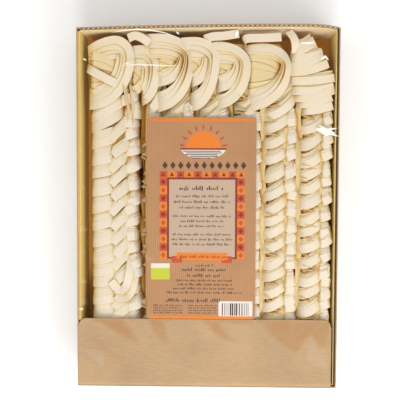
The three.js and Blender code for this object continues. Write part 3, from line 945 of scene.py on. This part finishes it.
def label_height(x, y):
    """Gives the height of the label's face, which lies in long shallow waves."""
    waves = 0.14 * math.sin(x / 15.0 + 0.6) + 0.12 * math.sin(y / 31.0) + 0.06 * math.sin((x + y) / 12)
    return LABEL["height"] + waves


def label_sheet(builder):
    """Adds the label's paper, with round corners."""
    def point(share, y, drop):
        inset = rounding(LABEL["corner"] - min(y - LABEL["bottom"], LABEL["top"] - y), LABEL["corner"])
        x = LABEL["left"] + inset + (LABEL["right"] - LABEL["left"] - 2 * inset) * share
        return builder.verts.new((x, y, label_height(x, y) - drop))

    # The rows lie closer towards both ends, where the corners are.
    length = LABEL["top"] - LABEL["bottom"]
    rows = [LABEL["bottom"] + length * (0.5 - 0.5 * math.cos(angle)) for angle in evenly(0, math.pi, 64)]
    face, back = [[[point(share, y, drop) for share in evenly(0, 1, 32)] for y in rows]
                  for drop in (0, LABEL["paper"])]
    close_sheet(builder, face, back)


class Print:
    """Printed shapes that lie just over the label's face, one material for each ink."""

    def __init__(self, builder):
        self.builder = builder
        self.layer = 0.0

    def point(self, x, y):
        return self.builder.verts.new((x, y, label_height(x, y) + self.layer))

    def face(self, corners, ink):
        self.builder.faces.new(corners).material_index = ink

    def polygon(self, outline, ink):
        self.face([self.point(x, y) for x, y in outline], ink)

    def rectangle(self, left, bottom, right, top, ink, cell=4.0):
        across = evenly(left, right, max(1, round((right - left) / cell)))
        along = evenly(bottom, top, max(1, round((top - bottom) / cell)))
        grid = [[self.point(x, y) for x in across] for y in along]
        for low, high in zip(grid, grid[1:]):
            for i in range(len(across) - 1):
                self.face((low[i], low[i + 1], high[i + 1], high[i]), ink)

    def disc(self, x, y, across, along, ink, start, end):
        middle = self.point(x, y)
        turns = [circle(angle) for angle in evenly(start, end, 28)]
        rim = [self.point(x + across * c, y + along * s) for c, s in turns]
        for a, b in zip(rim, rim[1:]):
            self.face((middle, a, b), ink)

    def lozenge(self, x, y, wide, tall, ink):
        self.polygon([(x - wide, y), (x, y - tall), (x + wide, y), (x, y + tall)], ink)

    def greeked_line(self, x, y, half, tall, ink, rng):
        """Draws a row of small dark marks in uneven groups, which stands for a line of print."""
        at = x - half
        while at < x + half:
            for _ in range(rng.randint(3, 8)):
                wide = rng.uniform(0.16, 0.30) * tall
                top = y + rng.choice((0.1, 0.1, 0.45)) * tall
                low = y - rng.choice((0.35, 0.35, 0.35, 0.5)) * tall
                if at + wide > x + half:
                    return
                self.polygon([(at, low), (at + wide, low), (at + wide, top), (at, top)], ink)
                at += wide + rng.uniform(0.12, 0.24) * tall
            at += 0.55 * tall


def draw_print(sheet):
    """Draws the label's plain design: trims, a sun over a field, a rule, a framed panel, lines and blocks."""
    paper, orange, burnt, brown, pale, green, white, deep = range(8)
    ground, shapes, marks, top_marks = 0.05, 0.1, 0.15, 0.2
    rng = random.Random(7)
    sheet.layer = ground
    sheet.rectangle(-50.4, 76.9, 39.9, 79.5, orange)
    sheet.rectangle(-50.4, -97.5, 39.9, -94.9, orange)
    # A half sun with rays, over a pale field with furrows
    sun_x, sun_y = -3.5, 53.0
    sheet.disc(sun_x, sun_y, 15.5, 15.5, orange, 0, 180)
    sheet.disc(sun_x, sun_y, 19.5, 8.5, white, 180, 360)
    for angle in evenly(10, 170, 8):
        c, s = circle(angle)
        sheet.polygon([(sun_x + out * c + half * s, sun_y + out * s - half * c)
                       for out, half in ((17, 0.8), (21, 0.8), (21, -0.8), (17, -0.8))], burnt)
    sheet.layer = shapes
    sheet.rectangle(sun_x - 20, sun_y - 0.7, sun_x + 20, sun_y + 0.7, deep)
    for i in range(5):
        low = sun_y - 1.6 - 1.5 * i
        half = 18.4 * math.sqrt(1 - ((low - sun_y) / 8.9) ** 2)
        shift = 2.0 * (i % 2)
        sheet.rectangle(sun_x - half + shift, low - 0.7, sun_x + half - 3 + shift, low, brown)
    sheet.layer = ground
    # Rule of lozenges
    for i in range(11):
        sheet.lozenge(-37.2 + 6.9 * i, 38.6, 2.4, 3.4, brown)
    # Frame of tiles round the panel, each with a small leaf, and a thin inner line
    frame_low, frame_high, tile_along, tile_across = -44.0, 26.0, 7.2, 7.62
    sheet.rectangle(-35.4, frame_low, 26.4, frame_high + 2.0, deep)
    for x in (-42.0, 26.4):
        for i in range(10):
            low = frame_low + tile_along * i
            sheet.rectangle(x, low, x + 6.6, low + 6.5, burnt if i % 2 else orange)
    for i in range(10):
        left = -42.0 + tile_across * i
        sheet.rectangle(left, frame_high + 2.0, left + 6.4, frame_high + 7.4, orange if i % 2 else burnt)
    sheet.layer = shapes
    for x in (-38.7, 29.7):
        for i in range(10):
            sheet.lozenge(x, frame_low + tile_along * i + 3.2, 2.2, 2.4, deep if i % 2 else burnt)
    for i in range(10):
        x, y = -38.8 + tile_across * i, frame_high + 4.7
        sheet.polygon([(x - 2.0, y - 1.7), (x + 2.0, y - 1.7), (x, y + 2.0)], deep)
    sheet.rectangle(-33.6, -42.4, 24.6, 26.2, pale)
    sheet.layer = marks
    for y, half, tall in ((18.5, 20, 4.4), (11.6, 23, 2.6), (6.6, 25, 2.6), (1.6, 20, 2.6),
                          (-6.0, 26, 2.4), (-10.4, 19, 2.4), (-14.8, 20, 2.4),
                          (-22.2, 26, 2.4), (-26.6, 27, 2.4), (-31.0, 26, 2.4)):
        sheet.greeked_line(-4.5, y, half, tall, brown, rng)
    sheet.rectangle(-27, -45.5, 18, -38.5, orange)
    sheet.rectangle(-31, -47.5, -22, -41.5, burnt)
    sheet.rectangle(13, -47.5, 22, -41.5, burnt)
    sheet.layer = top_marks
    sheet.greeked_line(-4.5, -42, 19, 2.6, deep, rng)
    sheet.layer = shapes
    for y, half, tall in ((-49.8, 8, 2.2), (-53.6, 20, 3.2), (-58.8, 16, 3.0), (-63.2, 25, 2.2),
                          (-66.8, 24, 2.2), (-70.4, 28, 2.2), (-74.0, 34, 2.2)):
        sheet.greeked_line(-2.0, y, half, tall, brown, rng)
    sheet.greeked_line(-12, -81.0, 24, 3.6, brown, rng)
    for y in (-85.6, -87.8, -90.0, -92.2):
        for x in (-34.5, -3.5):
            sheet.greeked_line(x, y, 13.0, 1.5, brown, rng)
    # The green and white block, and the plain bars
    sheet.rectangle(-49.5, -62.6, -33.0, -52.4, green)
    sheet.rectangle(-49.5, -52.4, -33.0, -48.2, white)
    sheet.rectangle(10.5, -95.0, 40.5, -81.6, white)
    sheet.layer = marks
    x = 13.4
    while x < 37.5:
        wide = rng.choice((0.45, 0.9, 1.3))
        sheet.rectangle(x, -94.4, x + wide, -83.4, brown, 12)
        x += wide + rng.choice((0.5, 0.9, 1.3))


# Painted highlights in the film: whether each is strong (1) or faint (0), its greatest width, and its middle
# line.
FILM_HIGHLIGHTS = [
    (1, 1.1, [(-83, 154.0), (-73, 156.0), (-61, 157.0), (-51, 156.2), (-38, 154.0), (-25, 149.5)]),
    (1, 0.9, [(-77, 125.6), (-62, 126.2), (-50, 126.0), (-38, 125.4), (-25, 125.4)]),
    (1, 5.2, [(95, 70.5), (100, 69.5), (106, 67.5), (111, 67)]),
    (1, 2.2, [(97, 74), (104, 70), (113, 71.5)]),
    (1, 2.2, [(101, 64), (107, 67), (114, 64.5)]),
    (1, 1.6, [(80.5, 145.5), (87, 144.8), (93, 145.6)]),
    (1, 2.4, [(98, 131), (102, 133.5), (105, 130.5)]),
    (1, 3.0, [(24.5, 150), (25.5, 155.5)]),
    (1, 1.2, [(-72.5, 127.4), (-68.5, 127.6)]),
    (1, 1.4, [(-27.5, 154.8), (-25.0, 152.6)]),
    (1, 1.2, [(-109, 131.5), (-106, 130)]),
    (0, 13.0, [(92, -118), (94, -130), (106, -141)]),
    (0, 9.0, [(-108, -125), (-97, -131), (-92, -142)]),
    (0, 3.0, [(-114, 19), (-107, 18)]),
    (0, 4.0, [(-114, -17), (-106, -19)]),
    (0, 3.0, [(-114, -39), (-107, -38)]),
    (0, 4.0, [(-114, -64), (-106, -65)]),
    (0, 5.0, [(-114, -82), (-106, -84)]),
    (1, 1.6, [(-113.5, -89), (-110, -89.6)]),
    (0, 2.5, [(-60, -36), (-53, -43), (-48, -46)]),
]


def film_height(x, y):
    """Gives the height of the film over the tray's front, which lies in faint waves."""
    wave = 0.10 * math.sin(x / 9 + math.sin(y / 23) * 2) + 0.08 * math.sin(y / 14 + x / 40)
    return FILM["front"] + 0.15 + wave


def film_mark(builder, points, width, material):
    """Adds a painted highlight in the film: a thin leaf along a smooth line that tapers off at both ends."""
    marks = [Vector((x, y, 0)) for x, y in points]
    rows = []
    count = 8 * (len(marks) - 1)
    for i in range(count + 1):
        k = min(i // 8, len(marks) - 2)
        middle = marks[k].lerp(marks[k + 1], i / 8 - k)
        along = marks[min(k + 2, len(marks) - 1)] - marks[max(k - 1, 0)]
        side = Vector((-along.y, along.x, 0)).normalized()
        half = 0.5 * width * math.sin(math.pi * (0.02 + 0.96 * i / count)) ** 0.7
        across = [middle + side * half * share for share in (-1, 0, 1)]
        rows.append([builder.verts.new((v.x, v.y, film_height(v.x, v.y) + 0.05)) for v in across])
    for low, high in zip(rows, rows[1:]):
        for i in range(2):
            builder.faces.new((low[i], high[i], high[i + 1], low[i + 1])).material_index = material


# ---------------------------------------------------------------- operators

def length_setting(name, description, millimetres, low, high):
    """Makes one setting that holds a length."""
    return FloatProperty(name=name, description=description, default=millimetres * MM, unit="LENGTH",
                         min=low * MM, max=high * MM)


def colour_setting(name, description, colour):
    """Makes one setting that holds a colour, given as sRGB hex."""
    return FloatVectorProperty(name=name, description=description, default=linear(colour)[:3], size=3,
                               subtype="COLOR", min=0.0, max=1.0)


class PackSettings(bpy.types.PropertyGroup):
    """Sizes and colours that a user would change"""
    ribbon_width: length_setting("Ribbon width", "Width of one pasta ribbon", RIBBON["width"], 3, 12)
    ribbon_thickness: length_setting("Ribbon thickness", "Thickness of one pasta ribbon",
                                     RIBBON["thickness"], 0.5, 2)
    flute_pitch: length_setting("Flute pitch", "Distance between two flutes of the corrugated board",
                                FLUTES["pitch"], 2, 10)
    pasta: colour_setting("Pasta", "Colour of the pasta's open faces", 0xEBDDC8)
    board_outside: colour_setting("Board, outside", "Colour of the tray's outer liner", 0xC4A47D)
    # The inner liner's colour is yellowed with painted bounce light off the pasta.
    board_inside_painted_bounce: colour_setting("Board, inside, with painted bounce light", "Colour of the tray's inner liner", 0xFFE894)
    label_paper: colour_setting("Label paper", "Colour of the label's kraft paper", 0xC29266)
    label_ink: colour_setting("Label ink", "Colour of the label's main ink", 0xE6811C)


class PASTA_OT_nests(bpy.types.Operator):
    """Wind the seven pasta nests"""
    bl_idname = "pasta_pack.nests"
    bl_label = "Nests"

    def execute(self, context):
        settings = context.scene.pasta_pack
        pasta = dried_pasta(settings)
        tree = ribbon_tree()
        values = {"Width": settings.ribbon_width, "Thickness": settings.ribbon_thickness, "Material": pasta}
        for index, nest in enumerate(NESTS):
            name = f"nest_{index + 1}"
            paths = RibbonPaths()
            lay_nest(paths, index, random.Random(NEST_SEED + index))
            wound = paths.to_object(name + "_ribbons")
            builder = bmesh.new()
            builder.from_mesh(run_tree(wound, tree, values))
            bpy.data.objects.remove(wound)
            for vertex in builder.verts:
                vertex.co /= MM
            known = len(builder.verts)
            loft(builder, nest_core(nest))
            builder.verts.ensure_lookup_table()
            shade = builder.verts.layers.float.get("shade")
            facing = builder.verts.layers.float_vector.get("facing")
            # Painted shade: the core is painted in shade, and its sides, square to an upward facing, darker
            # still.
            for vertex in builder.verts[known:]:
                vertex[shade] = CORE_SHADE
                vertex[facing] = (0, 0, 1)
            nest_piece = finish_piece(name + "_ribbons", builder, [pasta])
            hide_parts(name)
            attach(nest_piece, BODY)
        return {"FINISHED"}


class PASTA_OT_tray(bpy.types.Operator):
    """Fold the corrugated kraft tray with its flap"""
    bl_idname = "pasta_pack.tray"
    bl_label = "Tray"

    def execute(self, context):
        settings = context.scene.pasta_pack
        outer, inner = settings.board_outside, settings.board_inside_painted_bounce
        materials = [
            kraft_liner("Kraft liner, outside", outer, darker(outer, 0.76)),
            # The inside liner is yellowed with painted bounce light, and painted in shade towards its foot.
            kraft_liner("Kraft liner, inside, painted bounce light", inner, darker(inner, 0.86), (0xF4B450, 8.0, 2.5)),
            # The medium is painted near black, as the shade in the flutes deep in the board.
            kraft_liner("Fluted kraft medium, painted in shade", 0x5A3C20, 0x3A2412),
            # The end wall's liner is painted paler, as lit, and in shade towards its foot.
            kraft_liner("Kraft liner, end wall, painted lit", 0xFFEEC8, 0xFFE4B0, (0xF0C084, 9.0, 2.5)),
            # The liner on the left rim is painted darker than the inside liner, as shade.
            kraft_liner("Kraft liner on the rim, painted in shade", 0xD8B268, 0xC69E54)]
        outside, inside, medium, end, rim = range(5)
        builder = bmesh.new()
        builder.verts.layers.float.new("wedge_darkness")
        board, liner, lift, top = TRAY["board"], TRAY["liner"], TRAY["lift"], TRAY["depth"]
        # The medium ends just under the fluted strip, and so do the fills of the side walls' rims.
        under_flutes = top - FLUTES["sunk"] - FLUTES["deep"] - 0.1
        wall_ring(builder, 0.0, liner, lift, top, 1.6, outside)
        wall_ring(builder, board - liner, liner, lift + board, top, 0.6, inside, end)
        wall_ring(builder, liner, board - 2 * liner, lift, under_flutes, 1.2, medium)
        half_x, half_y = HALF_X - liner, HALF_Y - liner
        block(builder, (-half_x, -half_y, lift), (half_x, half_y, lift + board), inside)
        # The left rim's fill takes the liner painted in shade, the right rim's the medium painted near black.
        for side, low, high, material in ((-1, FLAP["edge"] - 1, top - 0.3, rim),
                                          (1, 1 - HALF_Y, top - 0.7, medium)):
            x0, x1 = sorted((side * half_x, side * (HALF_X - board + liner)))
            block(builder, (x0, low, under_flutes - 0.1), (x1, HALF_Y - board, high), material)
        flap(builder)
        tray = finish_piece("tray_board", builder, materials)
        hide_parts("tray")
        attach(tray, BODY)
        fresh_cut = kraft_liner("Fluted kraft medium, cut edge", 0xF4DEB8, 0xE2C494)
        flutes = fluted_strip("tray_flutes", fresh_cut, settings.flute_pitch)
        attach(flutes, BODY)
        return {"FINISHED"}


class PASTA_OT_label(bpy.types.Operator):
    """Print and lay the kraft label"""
    bl_idname = "pasta_pack.label"
    bl_label = "Label"

    def execute(self, context):
        settings = context.scene.pasta_pack
        colours = {"Orange": settings.label_ink, "Burnt orange": 0xC8481A, "Brown": 0x45281C, "Pale": 0xC4AC94,
                   "Leaf green": 0xC4CC30, "White": 0xEAE2DA, "Deep red": 0x86200A}
        inks = [striped_kraft_paper(settings)]
        inks += [print_ink(name + " ink", colour) for name, colour in colours.items()]
        builder = bmesh.new()
        label_sheet(builder)
        draw_print(Print(builder))
        label = finish_piece("label_paper", builder, inks)
        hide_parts("label")
        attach(label, BODY)
        return {"FINISHED"}


class PASTA_OT_film(bpy.types.Operator):
    """Wrap the tray in clear film"""
    bl_idname = "pasta_pack.film"
    bl_label = "Film"

    def execute(self, context):
        # Two of the film's materials paint highlights, faint and strong, over the clear one.
        materials = [clear_film("Clear polypropylene film", 0.0),
                     clear_film("Polypropylene film, faint painted highlight", 0.06),
                     clear_film("Creased polypropylene film, painted highlight", 0.85)]
        builder = bmesh.new()
        half_x, half_y = HALF_X + FILM["overhang"], HALF_Y + FILM["overhang"]
        across, along = evenly(-half_x, half_x, 60), evenly(-half_y, half_y, 84)
        front = [[builder.verts.new((x, y + bow(x, y, TRAY["depth"]), film_height(x, y))) for x in across]
                 for y in along]
        back = [[builder.verts.new((x, y, 0.12)) for x in across] for y in along]
        close_sheet(builder, front, back)
        for kind, width, points in FILM_HIGHLIGHTS:
            film_mark(builder, points, width, 1 + kind)
        film = finish_piece("film_wrap", builder, materials, math.radians(50))
        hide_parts("film")
        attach(film, BODY)
        return {"FINISHED"}


# The stage is in metres and watts. A softbox has its place, its power and its side.
SOFTBOXES = {
    "Left softbox": ((-0.75, 0.10, 0.95), 1.3, 0.6),
    "Right softbox": ((0.66, -0.78, 0.86), 5.8, 0.7),
    "Front softbox": ((0.05, -0.98, 1.22), 6.6, 0.4),
}
WORLD = {"colour": (1.0, 0.998, 0.993, 1), "strength": 0.73}
FLOOR_SIDE = 8.0
CAMERA = {"place": (0.0082, 0.0442, 0.718), "turn": (-0.0536, 0.0219, 0.0039), "lens": 68.6, "sensor": 36}


class PASTA_OT_stage(bpy.types.Operator):
    """Set the floor, the soft studio lights and the camera"""
    bl_idname = "pasta_pack.stage"
    bl_label = "Stage"

    def execute(self, context):
        scene = context.scene
        material, tree, _ = new_material("Matt white paint")
        paint = add(tree, "ShaderNodeBsdfPrincipled", {"Base Color": linear(0xFDFDFC), "Roughness": 0.9})
        add(tree, "ShaderNodeOutputMaterial", {0: paint})
        builder = bmesh.new()
        side = FLOOR_SIDE / 2 / MM
        corners = [(-side, -side), (side, -side), (side, side), (-side, side)]
        builder.faces.new([builder.verts.new((x, y, 0)) for x, y in corners])
        floor = finish_piece("floor", builder, [material])

        world = bpy.data.worlds.new("Studio")
        world.use_nodes = True
        background = world.node_tree.nodes["Background"]
        background.inputs[0].default_value = WORLD["colour"]
        background.inputs[1].default_value = WORLD["strength"]
        scene.world = world
        for name, (place_at, watts, size) in SOFTBOXES.items():
            data = bpy.data.lights.new(name, "AREA")
            data.energy = watts
            data.size = size
            light = add_object(name, data)
            light.location = place_at
            light.rotation_euler = (-Vector(place_at)).to_track_quat("-Z", "Y").to_euler()
        lens = bpy.data.cameras.new("Camera")
        lens.lens = CAMERA["lens"]
        lens.sensor_width = CAMERA["sensor"]
        scene.camera = add_object("Camera", lens)
        scene.camera.location = CAMERA["place"]
        scene.camera.rotation_euler = CAMERA["turn"]
        scene.view_settings.view_transform = "Standard"
        return {"FINISHED"}


class PASTA_PT_panel(bpy.types.Panel):
    """Lists the pack's pieces"""
    bl_idname = "PASTA_PT_panel"
    bl_label = "Pasta pack"
    bl_space_type = "VIEW_3D"
    bl_region_type = "UI"
    bl_category = "Pasta pack"

    def draw(self, context):
        settings = context.scene.pasta_pack
        for name in settings.bl_rna.properties.keys():
            if name not in {"rna_type", "name"}:
                self.layout.prop(settings, name)
        for operator in OPERATORS:
            self.layout.operator(operator.bl_idname)


OPERATORS = (PASTA_OT_stage, PASTA_OT_tray, PASTA_OT_nests, PASTA_OT_label, PASTA_OT_film)
CLASSES = (PackSettings,) + OPERATORS + (PASTA_PT_panel,)


def register():
    for item in CLASSES:
        bpy.utils.register_class(item)
    bpy.types.Scene.pasta_pack = PointerProperty(type=PackSettings)


def unregister():
    del bpy.types.Scene.pasta_pack
    for item in reversed(CLASSES):
        bpy.utils.unregister_class(item)


def main():
    register()
    for operator in OPERATORS:
        group, name = operator.bl_idname.split(".")
        getattr(getattr(bpy.ops, group), name)()


if __name__ == "__main__":
    main()
